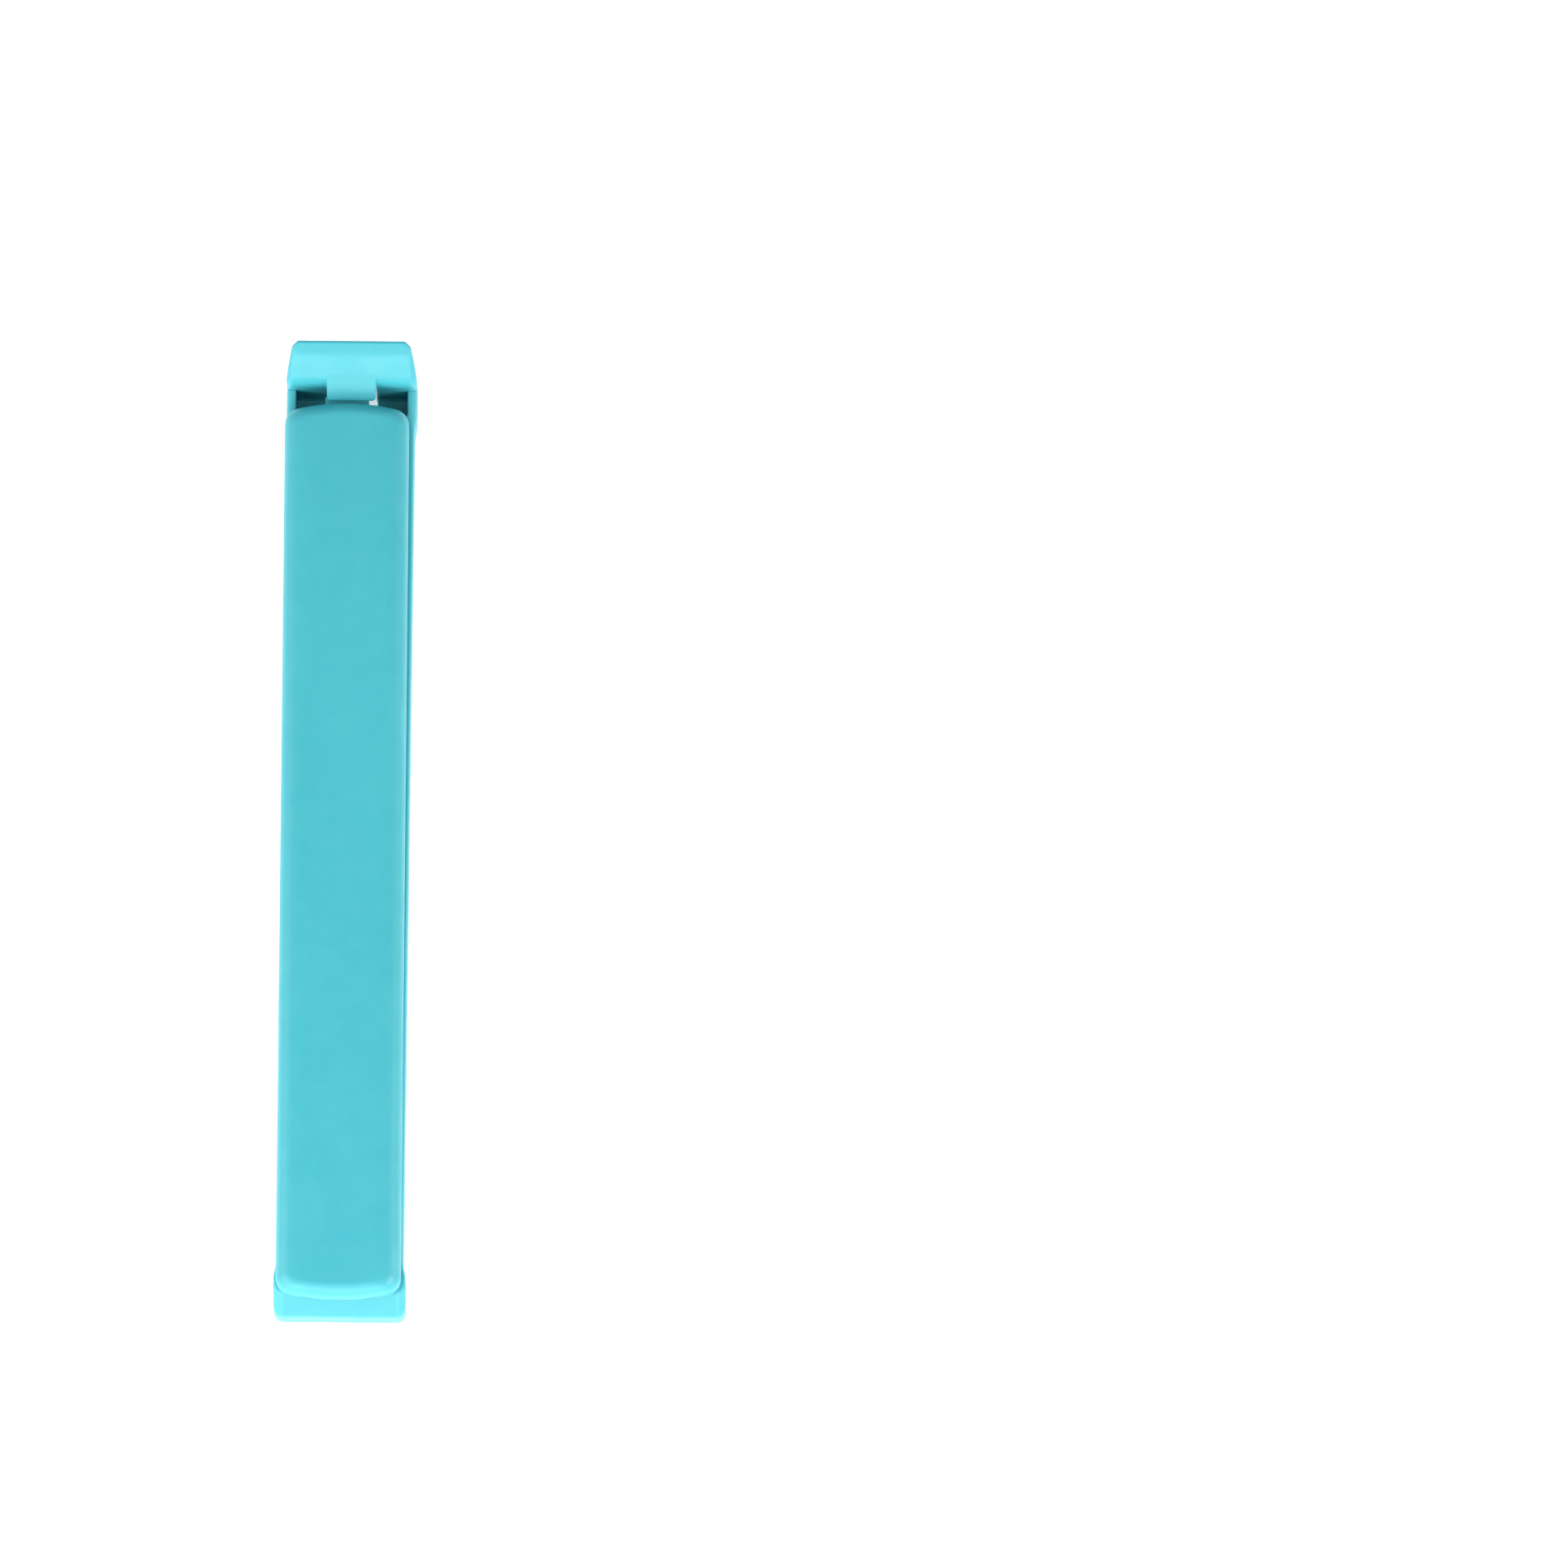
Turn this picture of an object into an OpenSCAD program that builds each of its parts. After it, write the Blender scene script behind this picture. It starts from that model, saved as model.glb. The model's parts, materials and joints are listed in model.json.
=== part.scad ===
// Long bag clip: a channel-shaped lower jaw, an upper jaw hinged at one end, and a springy latch
// at the other.
// Frame: +Z up, the clip's length along Y with the latch at +Y, its width along X.
// Origin: on the resting face, below the middle of the whole closed clip. Millimetres.

/* [Upper jaw] */
// Length of the upper jaw between the tips of its two bowed ends
jaw_l = 102.35; // [60:0.05:160]
// Width of the upper jaw
jaw_w = 14; // [13.6:0.1:14.4]
// Height of the upper jaw's top face above the resting face, closed
jaw_top = 10; // [9.8:0.05:10.2]
// Radius of the rounding along the top edges, and of the hinge knuckle
edge_r = 2; // [1.9:0.05:2.1]
// Radius of the bow at each end, seen from above
bow_r = 24; // [20:1:40]
// Corner radius seen from above
jaw_corner_r = 1.9; // [1.5:0.1:2.2]
// Thickness of the upper jaw's roof and skirts
jaw_wall = 1.4; // [1.2:0.1:1.6]
// Thickness of the blade that presses the bag into the groove
blade_t = 1.4; // [1:0.1:1.6]
// Height of the blade's edge above the resting face
blade_tip_z = 2.3; // [2:0.1:3]

/* [Lower jaw] */
// Width of the lower jaw at its two ends
base_w = 14.8; // [14.6:0.1:15.4]
// Width of the lower jaw between its wider ends
rail_w = 14.2; // [14:0.1:14.4]
// Height of the lower jaw's side walls
base_h = 6.4; // [6.2:0.05:6.5]
// Thickness of the lower jaw's side walls
base_wall = 1.2; // [1:0.1:1.4]
// Thickness of the floor
floor_t = 1.2; // [1:0.1:1.4]
// Height of the two gripping ribs above the resting face
grip_z = 3.7; // [3:0.1:3.8]
// How far the hinge end of the lower jaw stands out beyond the upper jaw, at its foot
heel = 1.35; // [1.2:0.05:1.6]
// Height of the hinge end's upright face, below its 45 degree slope
heel_top = 4; // [3.6:0.1:4.2]

/* [Latch] */
// Gap between the tip of the upper jaw and the latch legs
latch_gap = 1.9; // [1.7:0.05:2.1]
// Thickness of the latch legs
leg_t = 1.4; // [1.2:0.1:1.5]
// Height of the thumb tab's rim above the resting face
tab_top = 12.7; // [12.2:0.1:13.5]
// Height at which the thumb tab starts to lean out
tab_bend = 9.2; // [9:0.1:9.4]
// How far the thumb tab leans out between its foot and the inner edge of its rim
tab_lean = 2.8; // [2.4:0.1:3]
// Width of the thumb tab at its rim
tab_w = 13; // [12:0.1:13.6]
// Width of the catch at its tip
catch_w = 5.45; // [5:0.05:5.6]
// How far the jaw's tooth reaches under the catch, beyond the jaw's tip
tooth_l = 0.9; // [0.8:0.05:0.9]

/* [Hidden] */

$fn = 48;
plastic = [0.33, 0.75, 0.81];
eps = 0.01;

// Lengthwise stations
overall_l = 110 + (jaw_l - 102.35);
foot_y = -overall_l / 2;
tail_y = foot_y + heel;
nose_y = tail_y + jaw_l;
leg_in_y = nose_y + latch_gap;
leg_out_y = leg_in_y + leg_t;
parting = 0.2;
jaw_z0 = base_h + parting;

// Jaw hinge: the knuckle is concentric with the rounding of the jaw's tail
hinge_y = tail_y + edge_r;
hinge_z = jaw_top - edge_r;
scoop_gap = 0.15;
stub_r = 0.65;
stub_fit = 0.05;
ear_r = 1.2;
ear_x = 2.35;
ear_t = 1.7;
ear_gap = 0.2;
ear_stem = 1.4;
ear_foot_y = hinge_y + 3.05;
ear_foot_z = 4.4;
cheek_x = ear_x + ear_t + 0.35;
stub_end_x = 5.5;
bore_end_x = 5.65;

// Latch flexure: the legs turn about the middle of their thickness, just above the floor
flex_y = leg_in_y + leg_t / 2;
flex_z = 1.9;
root_fit = 0.05;
leg_w = base_w - 0.1;
wall_end_y = leg_in_y - 0.2;
wall_end_t = 1.05;
slot_top = 7.9;
slot_half_top = 2.9;
slot_half_foot = 2.95;
tab_t = 1.55;
rim_w = 1.6;
rim_rise = 0.8;
tab_slope = (tab_top - rim_rise - tab_bend) / tab_lean;
tab_in_top_y = leg_in_y + tab_lean;
tab_out_y = tab_in_top_y + rim_w;
catch_y = nose_y + 0.3;
catch_z = 8.3;
catch_root_w = 5.8;

// The outline of the upper jaw seen from above, drawn in by a margin all round
function arc(cx, cy, r, a0, a1, n) =
    [for (i = [0:n]) [cx + r * cos(a0 + (a1 - a0) * i / n), cy + r * sin(a0 + (a1 - a0) * i / n)]];

function bow_corner(x_max, r_bow, r_corner) =
    let (cx = x_max - r_corner, cy = sqrt(pow(r_bow - r_corner, 2) - pow(cx, 2)))
    [cx, cy - r_bow, atan2(cy, cx)];

function end_outline(half_w, r_bow, r_corner, n_bow, n_corner) =
    let (c = bow_corner(half_w, r_bow, r_corner))
    concat(
        arc(c[0], c[1], r_corner, 0, c[2], n_corner),
        [for (i = [1:n_bow - 1])
            let (a = c[2] + (180 - 2 * c[2]) * i / n_bow)
            [r_bow * cos(a), r_bow * (sin(a) - 1)]],
        arc(-c[0], c[1], r_corner, 180 - c[2], 180, n_corner));

function jaw_outline(margin) =
    let (e = end_outline(jaw_w / 2 - margin, bow_r - margin, max(jaw_corner_r - margin, 0.15), 12, 5))
    concat(
        [for (p = e) [p[0], p[1] + nose_y - margin]],
        [for (p = e) [-p[0], -p[1] + tail_y + margin]]);

// A YZ profile drawn as (y, z) and given a width along X, centred
module across(width, x0 = 0) {
    translate([x0 - width / 2, 0, 0]) rotate([90, 0, 90]) linear_extrude(width) children();
}

// A round bar along X about a point of the YZ plane
module bar(radius, x_from, x_to, y, z) {
    translate([x_from, y, z]) rotate([0, 90, 0]) cylinder(r = radius, h = x_to - x_from);
}

module both_sides() {
    children();
    mirror([1, 0, 0]) children();
}

// ---- Upper jaw ----

// Outer form: the bowed outline with its top edges rounded
module jaw_skin() {
    steps = 7;
    hull() {
        for (i = [0:steps])
            let (a = 90 * i / steps, margin = edge_r * (1 - cos(a)))
                translate([0, 0, hinge_z + edge_r * sin(a) - eps])
                    linear_extrude(eps) polygon(jaw_outline(margin));
        translate([0, 0, jaw_z0]) linear_extrude(eps) polygon(jaw_outline(0));
    }
}

// Takes the lower back edge of the tail off, down to the knuckle's round
module tail_trim() {
    difference() {
        translate([-jaw_w, tail_y - 1, 0]) cube([2 * jaw_w, edge_r + 1, hinge_z]);
        bar(edge_r, -jaw_w - 1, jaw_w + 1, hinge_y, hinge_z);
    }
}

// The knuckle's underside, which hangs below the skirts inside the jaw's outline
module knuckle() {
    intersection() {
        bar(edge_r, -jaw_w, jaw_w, hinge_y, hinge_z);
        translate([0, 0, hinge_z - edge_r - 1]) linear_extrude(edge_r + 1) polygon(jaw_outline(0));
    }
}

module jaw_hollow() {
    roof_z = jaw_top - jaw_wall;
    inner_w = jaw_w - 2 * jaw_wall;
    hollow_y0 = hinge_y + edge_r + 0.6;
    hollow_y1 = nose_y - 2.1;
    translate([-inner_w / 2, hollow_y0, 0]) cube([inner_w, hollow_y1 - hollow_y0, roof_z]);
    // room for the hinge ears between the cheeks
    bar(ear_r + ear_gap, -cheek_x, cheek_x, hinge_y, hinge_z);
    translate([-cheek_x, hinge_y, 0]) cube([2 * cheek_x, edge_r + 1, roof_z]);
    translate([-cheek_x, hinge_y - ear_r - ear_gap, 0])
        cube([2 * cheek_x, ear_r + ear_gap + eps, hinge_z]);
    // notches that let the ear stems pass as the jaw opens
    both_sides()
        translate([ear_x - 0.15, tail_y - 1, 0])
            cube([ear_t + 0.3, edge_r + 1, hinge_z - 0.15]);
    // blind bores for the ears' stubs
    both_sides() bar(stub_r + stub_fit, cheek_x - 1, bore_end_x, hinge_y, hinge_z);
}

module blade() {
    y0 = hinge_y + 6;
    y1 = nose_y - 3.2;
    tip_r = blade_t / 2;
    translate([0, y1, blade_tip_z + tip_r]) rotate([90, 0, 0]) cylinder(r = tip_r, h = y1 - y0);
    translate([-tip_r, y0, blade_tip_z + tip_r])
        cube([blade_t, y1 - y0, jaw_top - jaw_wall - blade_tip_z - tip_r + 0.2]);
    // cross webs that brace the blade against the roof
    webs = 8;
    web_t = 0.8;
    web_depth = 0.5;
    web_z = jaw_top - jaw_wall - web_depth;
    for (i = [1:webs])
        translate([-jaw_w / 2 + 0.8, y0 + (y1 - y0) * i / (webs + 1) - web_t / 2, web_z])
            cube([jaw_w - 1.6, web_t, web_depth + 0.2]);
}

module tooth() {
    z0 = 6;
    z1 = slot_top - 0.2;
    across(catch_w - 0.3)
        polygon([[nose_y - 1.6, z0 + 0.6], [nose_y - 0.6, z0], [nose_y + tooth_l - 0.3, z0],
                 [nose_y + tooth_l, z0 + 0.4], [nose_y + tooth_l, z1], [nose_y - 1.6, z1]]);
}

module upper_jaw() color(plastic) {
    difference() {
        union() {
            difference() {
                jaw_skin();
                tail_trim();
            }
            knuckle();
        }
        jaw_hollow();
    }
    blade();
    tooth();
}

// ---- Lower jaw ----

// Side profile of the solid blank, from the foot of the hinge end to the end of the side walls
module base_profile() {
    foot_r = 0.4;
    blunt = 0.25;
    polygon([[foot_y + foot_r, 0], [foot_y, foot_r], [foot_y, heel_top - blunt],
             [foot_y + blunt * 0.8, heel_top + blunt * 0.8], [foot_y + base_h - heel_top, base_h],
             [wall_end_y, base_h], [wall_end_y, 0]]);
}

// The blank cut to its plan: wide at both ends, and rounded at the two corners of the hinge end
module base_blank() {
    corner = 1.1;
    half_end = base_w / 2;
    half_rail = rail_w / 2;
    half_pad = leg_w / 2;
    block_y = foot_y + 4;
    pad_y = wall_end_y - 3.8;
    right = [[half_end, foot_y + corner], [half_end, block_y], [half_rail, block_y + half_end - half_rail],
             [half_rail, pad_y - half_pad + half_rail], [half_pad, pad_y], [half_pad, wall_end_y]];
    left = [for (i = [len(right) - 1:-1:0]) [-right[i][0], right[i][1]]];
    intersection() {
        across(base_w) base_profile();
        union() {
            translate([0, 0, -1]) linear_extrude(20) polygon(concat(right, left));
            translate([-half_end + corner, foot_y - 1, -1]) cube([base_w - 2 * corner, 3, 20]);
            both_sides()
                translate([half_end - corner, foot_y + corner, -1]) cylinder(r = corner, h = 20);
        }
    }
}

module channel() {
    inner_w = rail_w - 2 * base_wall;
    y0 = foot_y + 2.8;
    translate([-inner_w / 2, y0, floor_t]) cube([inner_w, overall_l, base_h]);
    // wider beside the jaw's tip, where the walls are thinner
    end_w = leg_w - 2 * wall_end_t;
    translate([-end_w / 2, wall_end_y - 3, floor_t]) cube([end_w, 4, base_h]);
    // the floor stops short of the slot between the legs
    translate([-slot_half_foot, nose_y + tooth_l + 0.1, -1])
        cube([2 * slot_half_foot, 4, floor_t + 2]);
    // room for the knuckle to turn in
    bar(edge_r + scoop_gap, -base_w, base_w, hinge_y, hinge_z);
}

// Two ribs that hold the bag against the blade
module grip_ribs() {
    y0 = hinge_y + 5.5;
    y1 = wall_end_y - 3;
    rib_x = 1.7;
    rib_t = 1;
    both_sides() {
        translate([rib_x, y0, floor_t - eps]) cube([rib_t, y1 - y0, grip_z - floor_t - rib_t / 2]);
        translate([rib_x + rib_t / 2, y1, grip_z - rib_t / 2])
            rotate([90, 0, 0]) cylinder(r = rib_t / 2, h = y1 - y0);
    }
}

// One hinge ear: a foot on the floor, a slanting stem, a round head and an outward stub
module hinge_ear() {
    dir = [ear_foot_y - hinge_y, ear_foot_z - hinge_z];
    len = norm(dir);
    side = [-dir[1], dir[0]] / len * ear_stem / 2;
    across(ear_t, ear_x + ear_t / 2) {
        polygon([[hinge_y, hinge_z] + side, [hinge_y, hinge_z] - side,
                 [ear_foot_y, ear_foot_z] - side, [ear_foot_y, ear_foot_z] + side]);
        polygon([[ear_foot_y - 1.3, floor_t - eps], [ear_foot_y + 1.7, floor_t - eps],
                 [ear_foot_y + 0.6, ear_foot_z + 0.4], [ear_foot_y - 0.6, ear_foot_z - 0.4]]);
    }
    bar(ear_r, ear_x, ear_x + ear_t, hinge_y, hinge_z);
    bar(stub_r, ear_x + ear_t - eps, stub_end_x, hinge_y, hinge_z);
}

// The two seats beyond the floor's end that carry the latch legs
module leg_seats() {
    both_sides()
        difference() {
            translate([slot_half_foot, wall_end_y - 1, 0])
                cube([leg_w / 2 - slot_half_foot, leg_out_y - wall_end_y + 1, flex_z]);
            bar(leg_t / 2 + root_fit, 0, base_w, flex_y, flex_z);
        }
}

module lower_jaw() color(plastic) {
    difference() {
        base_blank();
        channel();
    }
    grip_ribs();
    both_sides() hinge_ear();
    leg_seats();
}

// ---- Latch ----

// Two legs joined above by the wall that carries the tab, with the slot between them
module leg_wall() {
    translate([0, leg_out_y, 0]) rotate([90, 0, 0]) linear_extrude(leg_t)
        difference() {
            translate([-leg_w / 2, flex_z]) square([leg_w, tab_bend - flex_z]);
            polygon([[-slot_half_foot, -1], [slot_half_foot, -1],
                     [slot_half_foot, flex_z], [slot_half_top, slot_top],
                     [-slot_half_top, slot_top], [-slot_half_foot, flex_z]]);
        }
}

module leg_roots() {
    both_sides() bar(leg_t / 2, slot_half_foot, leg_w / 2, flex_y, flex_z);
}

// The thumb tab leans out and narrows to its rim
module thumb_tab() {
    rim_round = 0.5;
    back_z = tab_bend + leg_t * tab_slope - tab_t * sqrt(1 + tab_slope * tab_slope);
    intersection() {
        across(leg_w)
            polygon([[leg_in_y, tab_bend - eps],
                     [tab_in_top_y, tab_top - rim_rise], [tab_out_y - rim_round, tab_top],
                     [tab_out_y, tab_top - rim_round], [leg_out_y, back_z], [leg_in_y, back_z]]);
        translate([0, tab_out_y + 1, 0]) rotate([90, 0, 0])
            linear_extrude(20)
                polygon([[-leg_w / 2, 0], [leg_w / 2, 0], [leg_w / 2, tab_bend],
                         [tab_w / 2, tab_top - 0.9], [tab_w / 2 - 0.9, tab_top],
                         [-tab_w / 2 + 0.9, tab_top], [-tab_w / 2, tab_top - 0.9], [-leg_w / 2, tab_bend]]);
    }
}

// The catch reaches back over the jaw's tooth, with a ramp on top for closing
module catch_nose() {
    ramp_y = leg_in_y + 0.8;
    ramp_z = tab_bend + 0.8 * tab_slope;
    intersection() {
        across(catch_root_w)
            polygon([[catch_y, catch_z], [catch_y + 0.1, slot_top],
                     [leg_out_y - 0.1, slot_top], [ramp_y, ramp_z]]);
        translate([0, 0, slot_top - 1]) linear_extrude(5)
            polygon([[-catch_w / 2 + 0.3, catch_y - eps], [catch_w / 2 - 0.3, catch_y - eps],
                     [catch_w / 2, catch_y + 0.3], [catch_root_w / 2, leg_in_y + 2],
                     [-catch_root_w / 2, leg_in_y + 2], [-catch_w / 2, catch_y + 0.3]]);
    }
}

module latch() color(plastic) {
    leg_wall();
    leg_roots();
    thumb_tab();
    catch_nose();
}

lower_jaw();
latch();
upper_jaw();
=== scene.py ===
import json
import math

import bmesh
import bpy
from mathutils import Matrix, Vector, noise


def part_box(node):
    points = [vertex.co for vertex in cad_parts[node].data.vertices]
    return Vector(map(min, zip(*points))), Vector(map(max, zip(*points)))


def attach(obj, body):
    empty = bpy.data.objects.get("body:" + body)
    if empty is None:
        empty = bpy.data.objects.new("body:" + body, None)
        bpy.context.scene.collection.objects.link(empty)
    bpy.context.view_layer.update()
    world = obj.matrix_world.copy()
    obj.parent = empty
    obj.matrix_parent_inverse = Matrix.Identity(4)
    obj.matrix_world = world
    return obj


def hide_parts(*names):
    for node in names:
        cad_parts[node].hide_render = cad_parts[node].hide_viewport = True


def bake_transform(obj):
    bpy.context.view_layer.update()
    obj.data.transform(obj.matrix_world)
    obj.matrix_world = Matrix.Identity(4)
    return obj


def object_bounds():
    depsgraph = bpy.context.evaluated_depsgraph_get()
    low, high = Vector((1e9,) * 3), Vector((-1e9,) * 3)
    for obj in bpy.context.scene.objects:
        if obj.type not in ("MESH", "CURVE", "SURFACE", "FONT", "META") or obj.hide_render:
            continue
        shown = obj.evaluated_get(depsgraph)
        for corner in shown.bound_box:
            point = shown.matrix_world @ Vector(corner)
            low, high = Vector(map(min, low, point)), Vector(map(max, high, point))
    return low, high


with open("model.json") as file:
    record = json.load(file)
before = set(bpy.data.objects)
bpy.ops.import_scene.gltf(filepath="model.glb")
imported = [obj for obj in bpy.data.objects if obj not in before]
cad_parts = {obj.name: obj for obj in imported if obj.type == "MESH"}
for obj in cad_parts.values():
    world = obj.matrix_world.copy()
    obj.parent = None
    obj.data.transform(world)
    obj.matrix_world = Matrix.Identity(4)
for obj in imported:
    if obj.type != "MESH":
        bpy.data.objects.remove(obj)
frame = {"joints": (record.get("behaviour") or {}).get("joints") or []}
cad_lo, cad_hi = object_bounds()

MM = 0.001

# ---------------------------------------------------------------- sizes from the frame
jaw_lo, jaw_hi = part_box("upper_jaw")
base_lo, base_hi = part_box("lower_jaw")
latch_lo, latch_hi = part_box("latch")
hinge = Vector(next(j for j in frame["joints"] if j["name"] == "jaw_hinge")["pos_m"])
flex = Vector(next(j for j in frame["joints"] if j["name"] == "latch_flex")["pos_m"])

JAW_W = jaw_hi.x - jaw_lo.x
JAW_TOP = jaw_hi.z
TAIL_Y = jaw_lo.y
EDGE_R = JAW_TOP - hinge.z
TOOTH_L = 0.9 * MM
TOOTH_HALF = 2.45 * MM
NOSE_Y = jaw_hi.y - TOOTH_L
BASE_W = base_hi.x - base_lo.x
FOOT_Y = base_lo.y
BASE_H = 6.4 * MM
PARTING = 0.2 * MM
JAW_Z0 = BASE_H + PARTING
JAW_WALL = 1.4 * MM
BASE_WALL = 1.2 * MM
RAIL_W = 14.2 * MM
HEEL_TOP = 4.0 * MM
BLOCK_Y = FOOT_Y + 4.0 * MM
FLOOR_T = 1.2 * MM
BLADE_T = 1.4 * MM
BLADE_TIP_Z = 2.3 * MM
GRIP_Z = 3.7 * MM
LEG_T = 1.4 * MM
LEG_IN_Y = flex.y - LEG_T / 2
LEG_OUT_Y = flex.y + LEG_T / 2
LEG_W = latch_hi.x - latch_lo.x
WALL_END_Y = LEG_IN_Y - 0.02 * MM
WALL_END_T = 1.05 * MM
PAD_Y = WALL_END_Y - 3.8 * MM
TAB_TOP = latch_hi.z
TAB_BEND = 9.2 * MM
TAB_LEAN = 2.8 * MM
TAB_W = 13.0 * MM
TAB_OUT_Y = latch_hi.y
RIM_RISE = 0.8 * MM
SLOT_TOP = 7.9 * MM
SLOT_HALF_TOP = 2.82 * MM
SLOT_HALF_FOOT = 2.82 * MM
LEG_SLOT_HALF = 2.70 * MM
CATCH_Y = latch_lo.y
CATCH_Z = 8.3 * MM
CATCH_W = 5.45 * MM
CATCH_ROOT_W = 5.8 * MM
EAR_X = 2.35 * MM
EAR_T = 1.7 * MM
EAR_R = 1.2 * MM
EAR_GAP = 0.2 * MM
STUB_R = 0.65 * MM
STUB_END_X = 5.5 * MM
CHEEK_X = EAR_X + EAR_T + 0.35 * MM
SEAT_TOP = 1.75 * MM
KNUCKLE_END = 1.8 * MM
LATCH_CORNER_R = 0.68 * MM
LATCH_VOXEL = 0.085 * MM
SKIN = 0.03 * MM


# ---------------------------------------------------------------- mesh helpers
def arc(cx, cy, r, a0, a1, n):
    """n + 1 points of an arc in a plane, angles in degrees."""
    return [(cx + r * math.cos(math.radians(a0 + (a1 - a0) * i / n)),
             cy + r * math.sin(math.radians(a0 + (a1 - a0) * i / n))) for i in range(n + 1)]


def rounded(points, radii, n=6):
    """A closed polygon with each corner replaced by an arc of its radius, tangent to both sides."""
    out = []
    count = len(points)
    for i in range(count):
        p = Vector(points[i])
        a = (Vector(points[i - 1]) - p)
        b = (Vector(points[(i + 1) % count]) - p)
        r = radii[i] if isinstance(radii, (list, tuple)) else radii
        la, lb = a.length, b.length
        a.normalize()
        b.normalize()
        angle = a.angle(b)
        if r <= 0 or abs(angle - math.pi) < 0.01:
            out.append(p)
            continue
        cut = min(r / math.tan(angle / 2), la * 0.49, lb * 0.49)
        r = cut * math.tan(angle / 2)
        centre = p + (a + b).normalized() * (r / math.sin(angle / 2))
        start, end = p + a * cut - centre, p + b * cut - centre
        turn = math.atan2(start.x * end.y - start.y * end.x, start.dot(end))
        for k in range(n + 1):
            t = turn * k / n
            out.append(centre + Vector((start.x * math.cos(t) - start.y * math.sin(t),
                                        start.x * math.sin(t) + start.y * math.cos(t))))
    return [(p.x, p.y) for p in out]


def loft(name, rings):
    """A closed solid through rings of equal length, with its first and last ring capped."""
    bm = bmesh.new()
    rows = [[bm.verts.new(p) for p in ring] for ring in rings]
    n = len(rings[0])
    for a, b in zip(rows, rows[1:]):
        for i in range(n):
            bm.faces.new((a[i], a[(i + 1) % n], b[(i + 1) % n], b[i]))
    bm.faces.new(reversed(rows[0]))
    bm.faces.new(rows[-1])
    return to_object(name, bm)


def to_object(name, bm):
    """Turns a bmesh into a linked object."""
    bmesh.ops.recalc_face_normals(bm, faces=bm.faces)
    mesh = bpy.data.meshes.new(name)
    bm.to_mesh(mesh)
    bm.free()
    obj = bpy.data.objects.new(name, mesh)
    bpy.context.scene.collection.objects.link(obj)
    return obj


def prism_x(name, profile, x0, x1, edge=0.0, steps=3):
    """A YZ profile, given as (y, z), carried along X, with its two end edges rounded."""
    rings = []
    for end, sign in ((x0, 1), (x1, -1)):
        local = []
        for k in range(steps + 1 if edge > 0 else 1):
            t = math.pi / 2 * k / steps if edge > 0 else math.pi / 2
            inset = edge * (1 - math.sin(t))
            local.append([(end + sign * edge * (1 - math.cos(t)), y, z)
                          for y, z in shrink(profile, inset)])
        rings += local if sign > 0 else local[::-1]
    return loft(name, rings)


def shrink(profile, inset):
    """A closed polygon moved inwards by inset, corner by corner."""
    if inset <= 1e-9:
        return profile
    area = sum(profile[i - 1][0] * profile[i][1] - profile[i][0] * profile[i - 1][1]
               for i in range(len(profile)))
    side = 1 if area > 0 else -1
    out = []
    count = len(profile)
    for i in range(count):
        p, a, b = Vector(profile[i]), Vector(profile[i - 1]), Vector(profile[(i + 1) % count])
        da, db = (p - a), (b - p)
        if da.length < 1e-9 or db.length < 1e-9:
            out.append((p.x, p.y))
            continue
        da.normalize()
        db.normalize()
        na = Vector((-da.y, da.x)) * side
        nb = Vector((-db.y, db.x)) * side
        m = na + nb
        m = m / max(m.length_squared / 2, 0.35)
        out.append(tuple(p + m * inset))
    return out


def boolean(obj, tools, operation):
    """Joins or cuts obj by each tool mesh, and removes the tools."""
    for tool in tools:
        m = obj.modifiers.new("b", "BOOLEAN")
        m.operation, m.solver, m.object = operation, "EXACT", tool
        apply_modifiers(obj)
        bpy.data.objects.remove(tool, do_unlink=True)
    return obj


def apply_modifiers(obj):
    """Replaces the mesh by what its modifiers make of it."""
    deps = bpy.context.evaluated_depsgraph_get()
    mesh = bpy.data.meshes.new_from_object(obj.evaluated_get(deps))
    obj.modifiers.clear()
    old = obj.data
    obj.data = mesh
    mesh.name = obj.name
    bpy.data.meshes.remove(old)


def tidy_mesh(obj, join=0.002 * MM):
    """Welds near-identical points."""
    bm = bmesh.new()
    bm.from_mesh(obj.data)
    bmesh.ops.remove_doubles(bm, verts=bm.verts, dist=join)
    bmesh.ops.recalc_face_normals(bm, faces=bm.faces)
    bm.to_mesh(obj.data)
    bm.free()


def smooth(obj, angle):
    """Smooth shading, with edges sharper than the angle kept sharp."""
    mesh = obj.data
    mesh.shade_smooth()
    mesh.set_sharp_from_angle(angle=math.radians(angle))


def bar(name, r, x0, x1, y, z, n=64, edge=0.0):
    """A round bar along X."""
    return prism_x(name, arc(y, z, r, 0, 360, n)[:-1], x0, x1, edge, 3 if edge < 0.5 * MM else 10)


def step_up(value, low, high):
    """0 below low, 1 above high, and a smooth rise between them."""
    t = min(1, max(0, (value - low) / (high - low)))
    return t * t * (3 - 2 * t)


def with_points(profile, step):
    """The same closed polygon with points added along its long sides."""
    out = []
    for a, b in zip(profile, profile[1:] + profile[:1]):
        run = math.hypot(b[0] - a[0], b[1] - a[1])
        parts = max(1, round(run / step))
        out += [(a[0] + (b[0] - a[0]) * i / parts, a[1] + (b[1] - a[1]) * i / parts) for i in range(parts)]
    return out


# ---------------------------------------------------------------- upper jaw
BOW_R = 24 * MM
CORNER_R = 1.9 * MM
EDGE_EASE = 1.3 * MM
END_SQUASH = 0.8
CORNER_STEPS, BOW_STEPS, SIDE_STEPS = 6, 28, 96


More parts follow.
